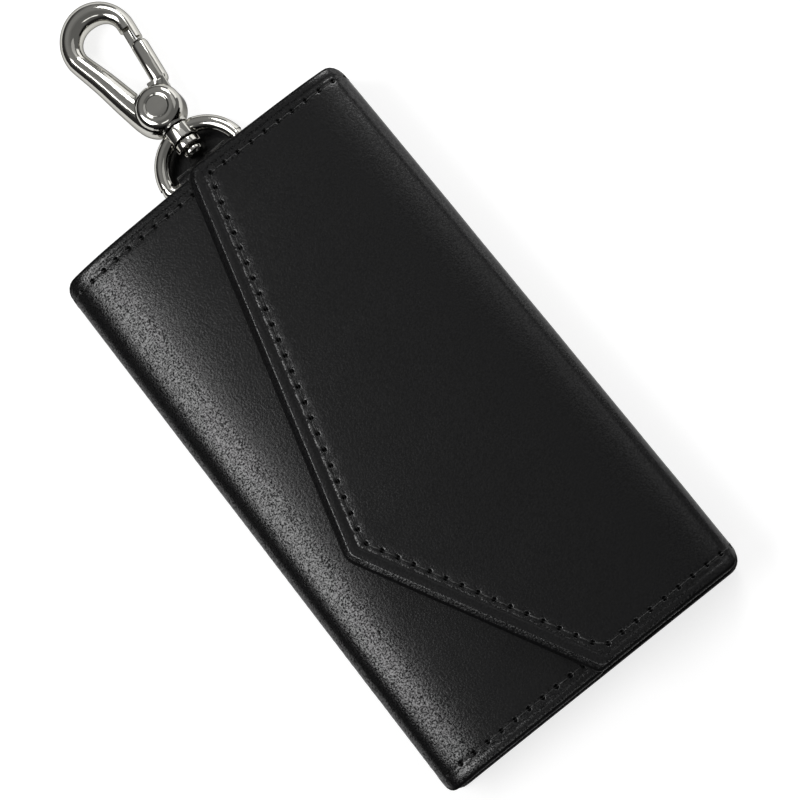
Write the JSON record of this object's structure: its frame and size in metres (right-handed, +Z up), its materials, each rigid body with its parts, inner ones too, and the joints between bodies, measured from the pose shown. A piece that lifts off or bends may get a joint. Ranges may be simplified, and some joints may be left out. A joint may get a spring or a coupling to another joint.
{
  "type": "leather key case with card pockets",
  "caption": "Folding leather key case with a pointed snap flap, card pockets, a row of key hooks and a swivel snap clasp on a D-ring.",
  "frame": {"origin": "middle of the back cover's underside, the face the case lies on", "axes": "+X towards the fold of the outer flap, +Y towards the clasp, +Z up out of the back cover"},
  "size_m": [0.066, 0.1611, 0.0144],
  "materials": {
    "cover_leather": "black pebbled leather, satin",
    "lining_leather": "black split leather, matt",
    "gunmetal": "polished black nickel plate",
    "nickel": "satin nickel plate",
    "spring_steel": "spring steel strip and wire"
  },
  "bodies": {
    "root": {"back_cover": "cover_leather", "back_lining": "lining_leather", "rear_card_pocket": "lining_leather", "front_card_pocket": "lining_leather", "key_plate": "nickel", "hook_axle": "spring_steel", "plate_rivet_left": "nickel", "plate_rivet_right": "nickel", "ring_tab": "cover_leather"},
    "right_fold": {"right_fold_cover": "cover_leather", "right_fold_lining": "lining_leather"},
    "outer_flap": {"outer_flap_cover": "cover_leather", "outer_flap_lining": "lining_leather", "snap_socket": "gunmetal", "snap_cap": "gunmetal"},
    "left_fold": {"left_fold_cover": "cover_leather", "left_fold_lining": "lining_leather"},
    "inner_flap": {"inner_flap_cover": "cover_leather", "inner_flap_lining": "lining_leather", "snap_stud": "gunmetal", "snap_stud_back": "gunmetal"},
    "ring": {"clasp_ring": "gunmetal"},
    "clasp": {"clasp_body": "gunmetal", "swivel_washer": "gunmetal", "gate_pin": "gunmetal", "gate_spring": "spring_steel"},
    "gate": {"clasp_gate": "gunmetal"},
    "key_hook_1": {"key_hook_1": "nickel", "key_hook_spring_1": "spring_steel"},
    "key_hook_2": {"key_hook_2": "nickel", "key_hook_spring_2": "spring_steel"},
    "key_hook_3": {"key_hook_3": "nickel", "key_hook_spring_3": "spring_steel"},
    "key_hook_4": {"key_hook_4": "nickel", "key_hook_spring_4": "spring_steel"},
    "key_hook_5": {"key_hook_5": "nickel", "key_hook_spring_5": "spring_steel"},
    "key_hook_6": {"key_hook_6": "nickel", "key_hook_spring_6": "spring_steel"}
  },
  "joints": [
    {"name": "right_fold_hinge", "type": "hinge", "parent": "root", "child": "right_fold", "pos_m": [0.033, 0, 0.00401], "axis": [0, 1, 0], "range_deg": [0, 90]},
    {"name": "outer_flap_hinge", "type": "hinge", "parent": "right_fold", "child": "outer_flap", "pos_m": [0.033, 0, 0.01039], "axis": [0, 1, 0], "range_deg": [0, 90]},
    {"name": "left_fold_hinge", "type": "hinge", "parent": "root", "child": "left_fold", "pos_m": [-0.033, 0, 0.00422], "axis": [0, -1, 0], "range_deg": [0, 90]},
    {"name": "inner_flap_hinge", "type": "hinge", "parent": "left_fold", "child": "inner_flap", "pos_m": [-0.033, 0, 0.00648], "axis": [0, -1, 0], "range_deg": [0, 90]},
    {"name": "ring_hinge", "type": "hinge", "parent": "root", "child": "ring", "pos_m": [0.0021, 0.0605, 0.00365], "axis": [1, 0, 0], "range_deg": [0, 70]},
    {"name": "swivel", "type": "hinge", "parent": "ring", "child": "clasp", "pos_m": [0.0021, 0.0676, 0.00365], "axis": [0, 1, 0], "continuous": true},
    {"name": "gate_hinge", "type": "hinge", "parent": "clasp", "child": "gate", "pos_m": [0.0021, 0.0754, 0.00365], "axis": [0, 0, 1], "range_deg": [0, 25], "stiffness_Nm_per_rad": 0.02, "springref_deg": -34.38},
    {"name": "key_hook_1_hinge", "type": "hinge", "parent": "root", "child": "key_hook_1", "pos_m": [-0.021, 0.0415, 0.0044], "axis": [-1, 0, 0], "range_deg": [0, 60]},
    {"name": "key_hook_2_hinge", "type": "hinge", "parent": "root", "child": "key_hook_2", "pos_m": [-0.0126, 0.0415, 0.0044], "axis": [-1, 0, 0], "range_deg": [0, 60]},
    {"name": "key_hook_3_hinge", "type": "hinge", "parent": "root", "child": "key_hook_3", "pos_m": [-0.0042, 0.0415, 0.0044], "axis": [-1, 0, 0], "range_deg": [0, 60]},
    {"name": "key_hook_4_hinge", "type": "hinge", "parent": "root", "child": "key_hook_4", "pos_m": [0.0042, 0.0415, 0.0044], "axis": [-1, 0, 0], "range_deg": [0, 60]},
    {"name": "key_hook_5_hinge", "type": "hinge", "parent": "root", "child": "key_hook_5", "pos_m": [0.0126, 0.0415, 0.0044], "axis": [-1, 0, 0], "range_deg": [0, 60]},
    {"name": "key_hook_6_hinge", "type": "hinge", "parent": "root", "child": "key_hook_6", "pos_m": [0.021, 0.0415, 0.0044], "axis": [-1, 0, 0], "range_deg": [0, 60]}
  ],
  "couplings": [
    {"joint": "outer_flap_hinge", "follows": "right_fold_hinge", "ratio": 1},
    {"joint": "left_fold_hinge", "follows": "right_fold_hinge", "ratio": 1},
    {"joint": "inner_flap_hinge", "follows": "right_fold_hinge", "ratio": 1},
    {"joint": "key_hook_1_hinge", "follows": "right_fold_hinge", "ratio": 0.6666},
    {"joint": "key_hook_2_hinge", "follows": "right_fold_hinge", "ratio": 0.6666},
    {"joint": "key_hook_3_hinge", "follows": "right_fold_hinge", "ratio": 0.6666},
    {"joint": "key_hook_4_hinge", "follows": "right_fold_hinge", "ratio": 0.6666},
    {"joint": "key_hook_5_hinge", "follows": "right_fold_hinge", "ratio": 0.6666},
    {"joint": "key_hook_6_hinge", "follows": "right_fold_hinge", "ratio": 0.6666}
  ]
}
